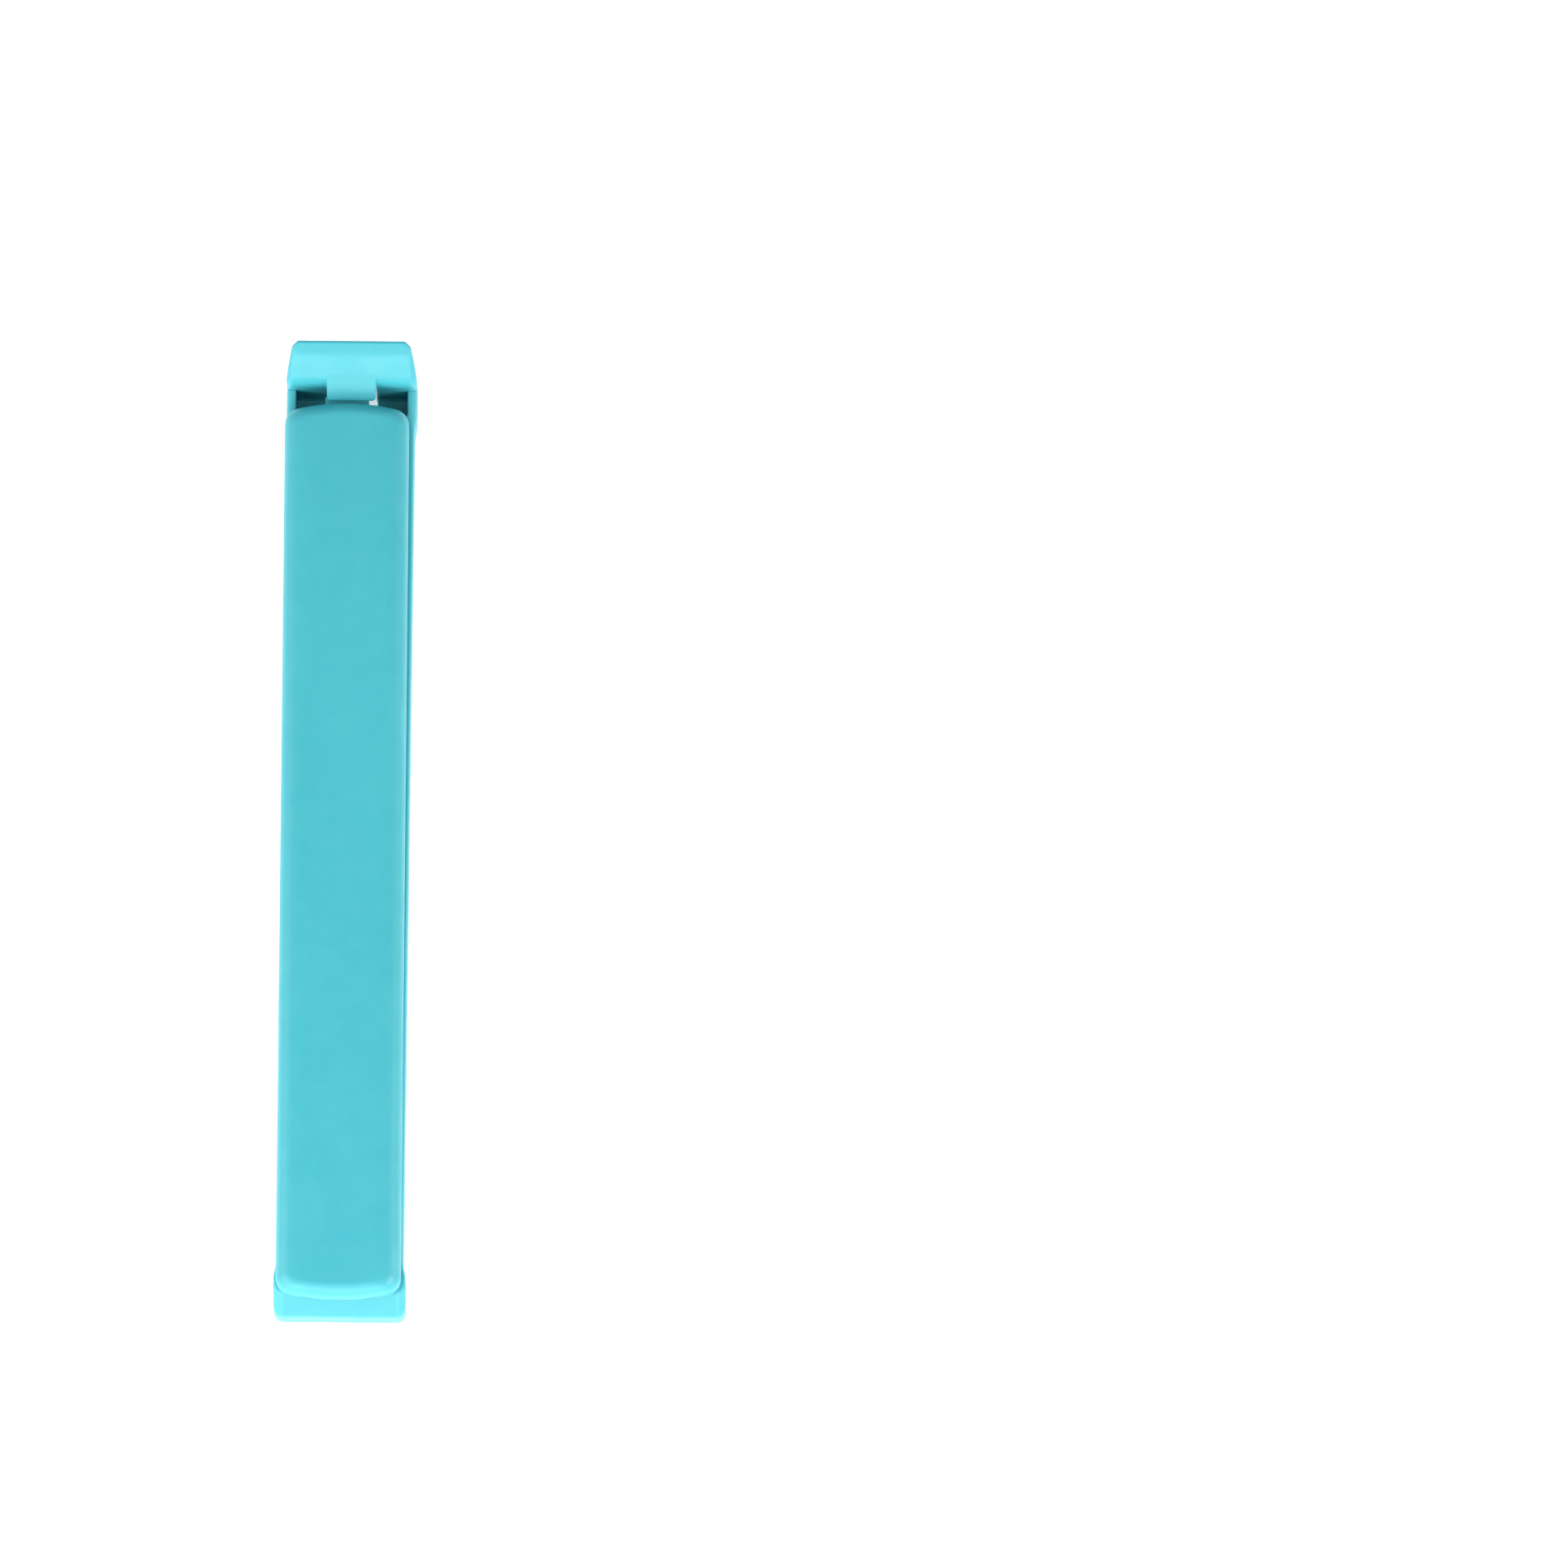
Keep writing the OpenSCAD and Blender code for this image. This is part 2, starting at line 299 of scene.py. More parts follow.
def quarter_end(side, end):
    """Corner and half bow of one jaw end, drawn in by side at its sides and by end at its end."""
    half = JAW_W / 2 - side
    r_bow = BOW_R - end
    r_corner = CORNER_R - 0.35 * side
    cx = half - r_corner
    cy = math.sqrt((r_bow - r_corner) ** 2 - cx * cx)
    meet = math.degrees(math.atan2(cy, cx))
    corner = arc(cx, cy - r_bow - end, r_corner, 0, meet, 2 * CORNER_STEPS)
    bow = arc(0, -r_bow - end, r_bow, meet, 90, BOW_STEPS // 2)[1:]
    return corner, bow


def jaw_sides(side_in, end_in, z):
    """The jaw's outline at one height as four edges, corner to corner: nose, left, tail, right."""
    corner, bow = quarter_end(side_in, end_in)
    k = CORNER_STEPS
    half_nose = corner[k:] + bow
    nose = [(x, NOSE_Y + y) for x, y in half_nose] + [(-x, NOSE_Y + y) for x, y in half_nose[-2::-1]]
    tail = [(-x, TAIL_Y - y) for x, y in half_nose] + [(x, TAIL_Y - y) for x, y in half_nose[-2::-1]]
    y_nose, y_tail = NOSE_Y + corner[0][1], TAIL_Y - corner[0][1]
    straight = [y_nose + (y_tail - y_nose) * i / SIDE_STEPS for i in range(SIDE_STEPS + 1)]
    x = corner[0][0]
    left = [(-a, NOSE_Y + b) for a, b in corner[k:0:-1]] + [(-x, y) for y in straight] \
        + [(-a, TAIL_Y - b) for a, b in corner[1:k + 1]]
    right = [(-a, b) for a, b in left[::-1]]
    drop = hinge.z - z
    y_min = hinge.y - math.sqrt(max(EDGE_R ** 2 - drop ** 2, 0)) if drop > 0 else -1
    return [[(a, max(b, y_min), z) for a, b in side] for side in (nose, left, tail, right)]


def jaw_ring(side_in, end_in, z):
    """The same outline as one closed ring."""
    return [p for side in jaw_sides(side_in, end_in, z) for p in side[:-1]]


def top_dish(x, y):
    """The roof sinks very slightly over the blade, as thick plastic does, and is level at its edges."""
    along = (y - TAIL_Y) / (NOSE_Y - TAIL_Y)
    start, stop = min(1, max(0, (along - 0.05) * 18)), min(1, max(0, (0.97 - along) * 18))
    blade = math.exp(-(x / (1.5 * MM)) ** 2) * start * stop
    wander = noise.noise(Vector((x / (5 * MM), y / (17 * MM), 3.1)))
    fade = max(0.0, 1 - (abs(x) / (JAW_W / 2 - EDGE_R - EDGE_EASE)) ** 4)
    ends = min(NOSE_Y - y, y - TAIL_Y) - EDGE_R
    fade *= step_up(ends, 0, 5 * MM)
    return fade * (-0.016 * MM * blade + 0.003 * MM * wander)


def jaw_blank():
    """The jaw's solid outer form: a small lip, upright sides, and a rounding up to the roof."""
    lip = 0.18 * MM
    rings = []
    for k in range(4):
        t = math.radians(90 * k / 3)
        draw_in = lip * (1 - math.sin(t))
        rings.append(jaw_ring(draw_in, draw_in, JAW_Z0 + lip * (1 - math.cos(t))))
    # below the hinge line the rings lie close enough to follow the round knuckle
    below, low = 9, math.asin((hinge.z - JAW_Z0 - lip) / EDGE_R)
    for k in range(1, below + 1):
        rings.append(jaw_ring(0, 0, hinge.z - EDGE_R * math.sin(low * (1 - k / below))))
    steps = 20
    for k in range(1, steps + 1):
        a = math.radians(90 * k / steps)
        draw_in = EDGE_R * (1 - math.cos(a))
        rings.append(jaw_ring(draw_in + EDGE_EASE * (k / steps) ** 4, draw_in * END_SQUASH,
                              hinge.z + EDGE_R * math.sin(a)))
    bm = bmesh.new()
    rows = [[bm.verts.new(p) for p in ring] for ring in rings]
    n = len(rows[0])
    for a, b in zip(rows, rows[1:]):
        for i in range(n):
            bm.faces.new((a[i], a[(i + 1) % n], b[(i + 1) % n], b[i]))
    bm.faces.new(reversed(rows[0]))
    top_sides = jaw_sides(EDGE_R + EDGE_EASE, EDGE_R * END_SQUASH, JAW_TOP)
    fill_patch(bm, rows[-1], [len(side) - 1 for side in top_sides])
    return to_object("upper_jaw_body", bm)


def fill_patch(bm, ring, counts):
    """Fills a ring of four edges with a grid of quads that follows them."""
    n0, n1, n2 = counts[:3]
    nose = ring[:n0 + 1]
    left = ring[n0:n0 + n1 + 1]
    tail = ring[n0 + n1:n0 + n1 + n2 + 1]
    right = ring[n0 + n1 + n2:] + [ring[0]]
    tail, right = tail[::-1], right[::-1]
    c00, c01, c10, c11 = nose[0].co, nose[-1].co, tail[0].co, tail[-1].co
    grid = [list(nose)]
    for j in range(1, n1):
        v = j / n1
        row = [right[j]]
        for i in range(1, n0):
            u = i / n0
            p = (1 - v) * nose[i].co + v * tail[i].co + (1 - u) * right[j].co + u * left[j].co \
                - ((1 - u) * (1 - v) * c00 + u * (1 - v) * c01 + (1 - u) * v * c10 + u * v * c11)
            p.z += top_dish(p.x, p.y)
            row.append(bm.verts.new(p))
        row.append(left[j])
        grid.append(row)
    grid.append(list(tail))
    for a, b in zip(grid, grid[1:]):
        for i in range(n0):
            bm.faces.new((a[i], b[i], b[i + 1], a[i + 1]))


def hollow_cutter(name, half_w, y0, y1, z_open, z_end, r, draft=0.02):
    """A box with rounded corners and a rounded blind end, which widens towards its open end."""
    rings = []
    sign = 1 if z_end > z_open else -1
    depth = abs(z_end - z_open)
    outline = rounded([(half_w, y1), (-half_w, y1), (-half_w, y0), (half_w, y0)], r * 2, 5)
    rings.append([(x, y, z_open) for x, y in outline])
    for k in range(6):
        t = math.radians(90 * k / 5)
        inset = draft * (depth - r) + r * (1 - math.cos(t))
        z = z_end - sign * r * (1 - math.sin(t))
        rings.append([(x, y, z) for x, y in shrink(outline, inset)])
    return loft(name, rings)


def upper_jaw():
    """The hollow jaw with its knuckle, bores, blade, webs and tooth."""
    body = jaw_blank()
    inside = 0.012 * MM
    slab = loft("slab", [jaw_ring(inside, inside, z) for z in (hinge.z - EDGE_R - MM, JAW_Z0 + 0.5 * MM)])
    knuckle = boolean(bar("knuckle", EDGE_R - 0.006 * MM, -JAW_W / 2, JAW_W / 2, hinge.y, hinge.z, 72,
                          KNUCKLE_END), [slab], "INTERSECT")
    boolean(body, [knuckle], "UNION")

    roof_z = JAW_TOP - JAW_WALL
    inner = JAW_W / 2 - JAW_WALL
    y0, y1 = hinge.y + EDGE_R + 0.6 * MM, NOSE_Y - 2.1 * MM
    cut = [hollow_cutter("hollow", inner, y0, y1, 4 * MM, roof_z, 0.35 * MM)]
    room = EAR_R + EAR_GAP
    below, room_end = 4 * MM, y0 + 0.4 * MM
    ear_room = arc(hinge.y, hinge.z, room, 180, 60, 12)
    ear_room += [(room_end, roof_z - 0.05 * MM), (room_end, below), (hinge.y - room, below)]
    cut.append(prism_x("ear_room", ear_room, -CHEEK_X, CHEEK_X, 0.1 * MM))
    # the ceiling of each notch slopes as the ear's stem does when the jaw is fully open
    outside_y, ceiling_z = hinge.y - 3 * MM, hinge.z - 0.05 * MM
    notch = [(outside_y, hinge.z - 1.24 * MM), (hinge.y - 1.3 * MM, ceiling_z), (hinge.y, ceiling_z),
             (hinge.y, below), (outside_y, below)]
    for side in (-1, 1):
        xs = sorted((side * (EAR_X - 0.15 * MM), side * (EAR_X + EAR_T + 0.15 * MM)))
        cut.append(prism_x("notch", notch, xs[0], xs[1]))
        xs = sorted((side * (CHEEK_X - 0.5 * MM), side * 5.65 * MM))
        cut.append(bar("bore", STUB_R + 0.05 * MM, xs[0], xs[1], hinge.y, hinge.z, 40))
    boolean(body, cut, "DIFFERENCE")

    tip = BLADE_T / 2
    by0, by1 = hinge.y + 6 * MM, NOSE_Y - 3.2 * MM
    section = rounded([(-tip, BLADE_TIP_Z), (tip, BLADE_TIP_Z), (tip * 1.15, roof_z + 0.3 * MM),
                       (-tip * 1.15, roof_z + 0.3 * MM)], [tip * 0.98, tip * 0.98, 0, 0], 8)
    rings = []
    for y, low in ((by0, 1.2 * MM), (by0 + 1.0 * MM, 0.25 * MM), (by0 + 2.2 * MM, 0),
                   (by1 - 2.2 * MM, 0), (by1 - 1.0 * MM, 0.25 * MM), (by1, 1.2 * MM)):
        rings.append([(x, y, max(z, 0) + low * max(0, (roof_z - z)) / (roof_z - BLADE_TIP_Z))
                      for x, z in section])
    add = [loft("blade", rings)]
    webs, web_t, web_depth = 8, 0.8 * MM, 0.5 * MM
    for i in range(1, webs + 1):
        y = by0 + (by1 - by0) * i / (webs + 1)
        profile = rounded([(y - web_t / 2, roof_z - web_depth), (y + web_t / 2, roof_z - web_depth),
                           (y + web_t * 0.6, roof_z + 0.3 * MM), (y - web_t * 0.6, roof_z + 0.3 * MM)],
                          [0.15 * MM, 0.15 * MM, 0, 0], 4)
        add.append(prism_x("web", profile, -inner - 0.3 * MM, inner + 0.3 * MM))
    tooth_z0, tooth_z1 = 6 * MM, SLOT_TOP - 0.2 * MM
    tooth_root, tooth_tip = NOSE_Y - 1.6 * MM, NOSE_Y + TOOTH_L
    tooth = rounded([(tooth_root, tooth_z0 + 0.6 * MM), (NOSE_Y - 0.6 * MM, tooth_z0),
                     (tooth_tip, tooth_z0), (tooth_tip, tooth_z1), (tooth_root, tooth_z1)],
                    [0, 0.3 * MM, 0.35 * MM, 0.18 * MM, 0], 5)
    add.append(prism_x("tooth", tooth, -TOOTH_HALF, TOOTH_HALF, 0.15 * MM))
    boolean(body, add, "UNION")
    tidy_mesh(body)
    return body


# ---------------------------------------------------------------- lower jaw
def base_half(y):
    """Half the lower jaw's width along its length: wide at the hinge end and beside the latch."""
    half = BASE_W / 2 + (RAIL_W - BASE_W) / 2 * step_up(y, BLOCK_Y - 0.1 * MM, BLOCK_Y + 2.1 * MM)
    return half + (LEG_W - RAIL_W) / 2 * step_up(y, PAD_Y - 1.2 * MM, PAD_Y + 1.2 * MM)


def base_stations():
    """Y values along the side walls, closer together where the width changes."""
    start = FOOT_Y + 3.85 * MM
    near = [start + 0.2 * MM * i for i in range(13)]
    long_part = [near[-1] + (PAD_Y - 1.4 * MM - near[-1]) * i / 80 for i in range(1, 81)]
    pad = [PAD_Y - 1.4 * MM + 0.2 * MM * i for i in range(1, 16)]
    return near + long_part + pad + [WALL_END_Y]


BASE_RIM, END_RIM = 0.28 * MM, 0.90 * MM


def base_ring(y0, z, inset, in_rim=None):
    """The lower jaw's outline at one height: two rounded corners at the hinge end, then the side walls."""
    half = BASE_W / 2 - inset
    y0 += inset
    r = 1.1 * MM - inset * 0.4
    left = arc(-half + r, y0 + r, r, 180, 270, 10)
    right = arc(half - r, y0 + r, r, 270, 360, 10)
    side = []
    for y in base_stations():
        # beside the latch the rim's radius grows from BASE_RIM to END_RIM
        more = step_up(y, PAD_Y - 1.2 * MM, PAD_Y + 1.2 * MM)
        if in_rim is None:
            low = z * (1 - more * (END_RIM - BASE_RIM) / (BASE_H - BASE_RIM))
            side.append((base_half(y) - inset, y, low))
        else:
            rim = BASE_RIM + (END_RIM - BASE_RIM) * more
            x, top = base_half(y) - rim * (1 - math.cos(in_rim)), BASE_H - rim * (1 - math.sin(in_rim))
            side.append((x, y, top))
    return [(x, y, z) for x, y in left + right] + side + [(-x, y, z) for x, y, z in side[::-1]]


def base_blank():
    """The lower jaw's solid outer form, with the slanting end face and a rounded foot and rim."""
    foot, rim = 0.4 * MM, BASE_RIM
    rings = []
    for k in range(6):
        t = math.radians(90 * k / 5)
        rings.append(base_ring(FOOT_Y, foot * (1 - math.cos(t)), foot * (1 - math.sin(t))))
    rise = BASE_H - HEEL_TOP
    end = rounded([(FOOT_Y - MM, foot), (FOOT_Y, foot), (FOOT_Y, HEEL_TOP), (FOOT_Y + rise, BASE_H),
                   (FOOT_Y - MM, BASE_H)], [0, 0, 1.1 * MM, 0, 0], 8)[2:-1]
    end = [(end[0][0], foot + (end[0][1] - foot) * i / 4) for i in range(1, 4)] + end
    for y, z in with_points(end, 0.45 * MM)[:-1]:
        over = max(0, z - (BASE_H - rim)) / rim
        if over > 0 or (rings and z <= rings[-1][0][2] + 1e-7):
            continue
        rings.append(base_ring(y, z, 0))
    for k in range(0, 6):
        t = math.radians(90 * k / 5)
        z = BASE_H - rim + rim * math.sin(t)
        rings.append(base_ring(FOOT_Y + z - HEEL_TOP, z, rim * (1 - math.cos(t)), t))
    return loft("lower_jaw_body", rings)


def lower_jaw():
    """The channel with its ribs, hinge ears and leg seats."""
    body = base_blank()
    inner = RAIL_W / 2 - BASE_WALL
    y0 = FOOT_Y + 2.8 * MM
    lip = 0.3 * MM
    # the channel, with a rounded rim, a slight draft and a rounded foot
    above, out = BASE_H + 1.5 * MM, inner + 1.0 * MM
    profile = rounded([(-out, above), (-out, BASE_H), (-inner, BASE_H), (-inner + 0.08 * MM, FLOOR_T),
                       (inner - 0.08 * MM, FLOOR_T), (inner, BASE_H), (out, BASE_H), (out, above)],
                      [0, 0, lip, 0.5 * MM, 0.5 * MM, lip, 0, 0], 6)
    rings = [[(x, y, z) for x, z in profile] for y in (y0, WALL_END_Y + MM)]
    cut = [loft("channel", rings)]
    # wider beside the jaw's tip, and open below where the slot between the legs begins
    end_half, end_floor = LEG_W / 2 - WALL_END_T, FLOOR_T + 0.02 * MM
    end_out = end_half + 0.7 * MM
    wide = rounded([(-end_out, above), (-end_out, BASE_H), (-end_half, BASE_H),
                    (-end_half + 0.1 * MM, end_floor), (end_half - 0.1 * MM, end_floor),
                    (end_half, BASE_H), (end_out, BASE_H), (end_out, above)],
                   [0, 0, 0.15 * MM, 0.5 * MM, 0.5 * MM, 0.15 * MM, 0, 0], 6)
    lead_in = ((WALL_END_Y - 3.6 * MM, inner / end_half), (WALL_END_Y - 2.6 * MM, 1), (WALL_END_Y + MM, 1))
    cut.append(loft("end_channel", [[(x * k, y, z) for x, z in wide] for y, k in lead_in]))
    notch_y = NOSE_Y + TOOTH_L + 0.1 * MM
    outline = rounded([(-SLOT_HALF_FOOT, notch_y), (SLOT_HALF_FOOT, notch_y), (SLOT_HALF_FOOT, LEG_OUT_Y),
                       (-SLOT_HALF_FOOT, LEG_OUT_Y)], [0.3 * MM, 0.3 * MM, 0, 0], 5)
    cut.append(loft("notch", [[(x, y, z) for x, y in outline] for z in (-MM, FLOOR_T + 1.5 * MM)]))
    scoop_gap = 0.15 * MM
    reach = JAW_W / 2 + scoop_gap
    cut.append(bar("scoop", EDGE_R + scoop_gap, -reach, reach, hinge.y, hinge.z, 72, KNUCKLE_END))
    boolean(body, cut, "DIFFERENCE")

    add = []
    rib_x, rib_t = 1.7 * MM, 1.0 * MM
    ry0, ry1 = hinge.y + 5.5 * MM, WALL_END_Y - 3 * MM
    for side in (-1, 1):
        c = side * (rib_x + rib_t / 2)
        under = FLOOR_T - 0.3 * MM
        section = rounded([(c - rib_t * 0.62, under), (c + rib_t * 0.62, under),
                           (c + rib_t / 2, GRIP_Z), (c - rib_t / 2, GRIP_Z)],
                          [0, 0, 0.48 * MM, 0.48 * MM], 6)
        ends = []
        for y, low in ((ry0, 0.8), (ry0 + 0.5 * MM, 0.3), (ry0 + 1.4 * MM, 0.0),
                       (ry1 - 1.4 * MM, 0.0), (ry1 - 0.5 * MM, 0.3), (ry1, 0.8)):
            ends.append([(x, y, under + (z - FLOOR_T + 0.3 * MM) * (1 - low * 0.55)) for x, z in section])
        add.append(loft("grip_rib", ends))
        add += hinge_ear(side)
        add.append(leg_seat(side))
    boolean(body, add, "UNION")
    tidy_mesh(body)
    return body


def hinge_ear(side):
    """A foot, a slanting stem, a round head and an outward stub."""
    foot = Vector((hinge.y + 3.05 * MM, 4.4 * MM))
    head = Vector((hinge.y, hinge.z))
    run = (foot - head)
    across = Vector((-run.y, run.x)).normalized() * 0.7 * MM
    x = sorted((side * EAR_X, side * (EAR_X + EAR_T)))
    stub = sorted((side * (EAR_X + EAR_T - 0.3 * MM), side * STUB_END_X))
    edge = 0.12 * MM
    stem = [tuple(head + across), tuple(head - across), tuple(foot - across), tuple(foot + across)]
    pedestal = rounded([(foot.x - 1.3 * MM, FLOOR_T - 0.3 * MM), (foot.x + 1.7 * MM, FLOOR_T - 0.3 * MM),
                        (foot.x + 0.6 * MM, foot.y + 0.45 * MM), (foot.x - 0.6 * MM, foot.y - 0.35 * MM)],
                       [0, 0, 0.4 * MM, 0.2 * MM], 5)
    return [prism_x("stem", stem, x[0], x[1], edge), prism_x("pedestal", pedestal, x[0], x[1], edge),
            bar("head", EAR_R, x[0], x[1], head.x, head.y, 48, edge),
            bar("stub", STUB_R, stub[0], stub[1], head.x, head.y, 40, 0.15 * MM)]


def leg_seat(side):
    """The core past the end of the floor that each latch leg grows round."""
    x = sorted((side * (SLOT_HALF_FOOT + SKIN), side * (LEG_W / 2 - SKIN)))
    y0, y1 = WALL_END_Y - MM, LEG_OUT_Y - SKIN
    profile = rounded([(y0, SKIN), (y1, SKIN), (y1, SEAT_TOP), (LEG_IN_Y + 0.2 * MM, SEAT_TOP),
                       (LEG_IN_Y - 0.1 * MM, SEAT_TOP), (WALL_END_Y - 0.1 * MM, FLOOR_T + 0.1 * MM),
                       (y0, FLOOR_T)],
                      [0, 0.35 * MM, 0, 0, 0.3 * MM, 0, 0], 5)
    return prism_x("seat", profile, x[0], x[1], 0.1 * MM)


# ---------------------------------------------------------------- latch
TAB_SLOPE = (TAB_TOP - RIM_RISE - TAB_BEND) / TAB_LEAN


def chain(points, radii, count):
    """An open path of (y, z) points with its inner corners rounded, as count + 1 evenly spaced points."""
    path = rounded(points, radii, 12)
    lengths = [0.0]
    for a, b in zip(path, path[1:]):
        lengths.append(lengths[-1] + math.hypot(b[0] - a[0], b[1] - a[1]))
    out = []
    for i in range(count + 1):
        t = lengths[-1] * i / count
        k = max(j for j in range(len(path) - 1) if lengths[j] <= t + 1e-12)
        f = (t - lengths[k]) / max(lengths[k + 1] - lengths[k], 1e-12)
        out.append(tuple(path[k][c] + (path[k + 1][c] - path[k][c]) * f for c in (0, 1)))
    return out


def latch_half(z):
    """Half the latch's width at a height: full up to the bend, then narrowing to the rim."""
    up = min(1, max(0, (z - TAB_BEND + 0.6 * MM) / (TAB_TOP - TAB_BEND + 0.6 * MM)))
    return LEG_W / 2 + (TAB_W - LEG_W) / 2 * (0.5 * up + 0.5 * up * up)


def latch_body():
    """Legs, wall, thumb tab and catch as one moulding, lofted upwards from the feet to the rim."""
    tab_in = (LEG_IN_Y + TAB_LEAN, TAB_TOP - RIM_RISE)
    back_z = TAB_BEND + LEG_T * TAB_SLOPE - 1.55 * MM * math.hypot(1, TAB_SLOPE)
    tip_in = (TAB_OUT_Y - 0.30 * MM, TAB_TOP - 0.17 * MM)
    tip_out = (TAB_OUT_Y - 0.08 * MM, TAB_TOP - 0.75 * MM)
    inner = chain([(LEG_IN_Y, 0), (LEG_IN_Y, TAB_BEND), tab_in, tip_in], [0, 2.8 * MM, 3.0 * MM, 0], 110)
    outer = chain([(LEG_OUT_Y, 0), (LEG_OUT_Y, back_z), tip_out], [0, 1.6 * MM, 0], 110)
    step = math.dist(inner[-1], inner[-2])
    round_r = 1.00 * MM

    def ring(p, q, half, r, lift=(0, 0)):
        """A rounded rectangle between an inner point p and an outer point q, half wide each way in X."""
        depth = math.hypot(q[0] - p[0], q[1] - p[1])
        # beside the side walls the inner corners are nearly square
        r_in = 0.2 * MM + (r - 0.2 * MM) * step_up(p[1], BASE_H - END_RIM, BASE_H + 0.8 * MM)
        flat = rounded([(-half, 0), (half, 0), (half, depth), (-half, depth)],
                       [r_in, r_in, 0.8 * r, 0.8 * r], 8)
        uy, uz = (q[0] - p[0]) / depth, (q[1] - p[1]) / depth
        return [(x, p[0] + uy * d + lift[0], p[1] + uz * d + lift[1]) for x, d in flat]

    rings = []
    for i, (p, q) in enumerate(zip(inner, outer)):
        near = max(0, round_r - 0.2 * MM - (len(inner) - 1 - i) * step)
        half = latch_half((p[1] + q[1]) / 2) - round_r + math.sqrt(round_r ** 2 - near ** 2)
        rings.append(ring(p, q, half, LATCH_CORNER_R))
    # the rim's edge: the last ring moves out and draws in, which rounds it
    run = math.dist(p, q)
    along = ((q[0] - p[0]) / run, (q[1] - p[1]) / run)
    soft = 0.22 * MM
    for k in range(1, 6):
        t = math.radians(90 * k / 5)
        inset, rise = soft * (1 - math.cos(t)), soft * math.sin(t)
        lift = (-along[1] * rise, along[0] * rise)
        rings.append(ring((p[0] + along[0] * inset, p[1] + along[1] * inset),
                          (q[0] - along[0] * inset, q[1] - along[1] * inset),
                          half - 1.4 * inset, LATCH_CORNER_R, lift))
    body = loft("latch_body", rings)
    y0, y1 = CATCH_Y - MM, TAB_OUT_Y + MM
    slot = rounded([(-LEG_SLOT_HALF, -2 * MM), (LEG_SLOT_HALF, -2 * MM), (LEG_SLOT_HALF, flex.z),
                    (SLOT_HALF_TOP, SLOT_TOP), (-SLOT_HALF_TOP, SLOT_TOP), (-LEG_SLOT_HALF, flex.z)],
                   [0, 0, 0.5 * MM, 0.25 * MM, 0.25 * MM, 0.5 * MM], 6)
    cutter = loft("slot", [[(x, y, z) for x, z in slot] for y in (y0, y1)])
    boolean(body, [cutter], "DIFFERENCE")
    boolean(body, [catch_nose()], "UNION")
    soften(body, LATCH_VOXEL, 6)
    return body


def soften(obj, voxel, rounds):
    """Rebuilds the mesh evenly and relaxes it, which gives every edge a small moulded radius."""
    m = obj.modifiers.new("even", "REMESH")
    m.mode, m.voxel_size, m.adaptivity = "VOXEL", voxel, 0.0
    m.use_smooth_shade = True
    s = obj.modifiers.new("relax", "SMOOTH")
    s.factor, s.iterations = 0.5, rounds
    apply_modifiers(obj)


def catch_nose():
    """The catch: a ramp on top, a beak at the tip, and sides that widen towards the wall."""
    ramp_y, ramp_z = LEG_IN_Y + 1.15 * MM, TAB_BEND + 1.15 * MM * TAB_SLOPE - 0.03 * MM
    back_y = LEG_OUT_Y - 0.1 * MM
    side_view = rounded([(CATCH_Y, CATCH_Z), (CATCH_Y + 0.1 * MM, SLOT_TOP), (back_y, SLOT_TOP),
                         (back_y, ramp_z - 0.3 * MM), (ramp_y, ramp_z)],
                        [0.16 * MM, 0.1 * MM, 0, 0, 1.5 * MM], 6)
    nose = prism_x("catch", side_view, -CATCH_ROOT_W / 2 - MM, CATCH_ROOT_W / 2 + MM)
    plan = rounded([(-CATCH_W / 2, CATCH_Y - 0.01 * MM), (CATCH_W / 2, CATCH_Y - 0.01 * MM),
                    (CATCH_ROOT_W / 2, LEG_IN_Y + 3 * MM), (-CATCH_ROOT_W / 2, LEG_IN_Y + 3 * MM)],
                   [0.5 * MM, 0.5 * MM, 0, 0], 6)
    mask = loft("plan", [[(x, y, z) for x, y in plan] for z in (SLOT_TOP - MM, TAB_TOP)])
    return boolean(nose, [mask], "INTERSECT")


# ---------------------------------------------------------------- build the pieces
PLAY_AT_HINGE, PLAY_AT_NOSE = 0.10 * MM, 0.48 * MM
upper = upper_jaw()
upper.name = "upper_jaw_moulding"
# the jaw sits a little askew, which its loose hinge allows; at 0.2 degrees a shear stands for a turn
for v in upper.data.vertices:
    v.co.x -= PLAY_AT_HINGE + (PLAY_AT_NOSE - PLAY_AT_HINGE) * (v.co.y - hinge.y) / (NOSE_Y - hinge.y)
lower = lower_jaw()
lower.name = "lower_jaw_moulding"
catch = latch_body()
catch.name = "latch_moulding"
for piece, limit in ((upper, 30), (lower, 30), (catch, 60)):
    smooth(piece, limit)


# ---------------------------------------------------------------- material
def math_node(tree, operation, a, b=None):
    """One arithmetic node on one or two numbers or sockets."""
    n = tree.nodes.new("ShaderNodeMath")
    n.operation = operation
    for socket, value in zip(n.inputs, (a, b)):
        if value is None:
            continue
        if isinstance(value, (int, float)):
            socket.default_value = value
        else:
            tree.links.new(value, socket)
    return n.outputs[0]


def ramp(tree, value, low, high, a=0.0, b=1.0):
    """value from low to high becomes a to b, smoothly and clamped."""
    n = tree.nodes.new("ShaderNodeMapRange")
    n.interpolation_type = "SMOOTHSTEP"
    for key, number in (("From Min", low), ("From Max", high), ("To Min", a), ("To Max", b)):
        n.inputs[key].default_value = number
    tree.links.new(value, n.inputs["Value"])
    return n.outputs["Result"]


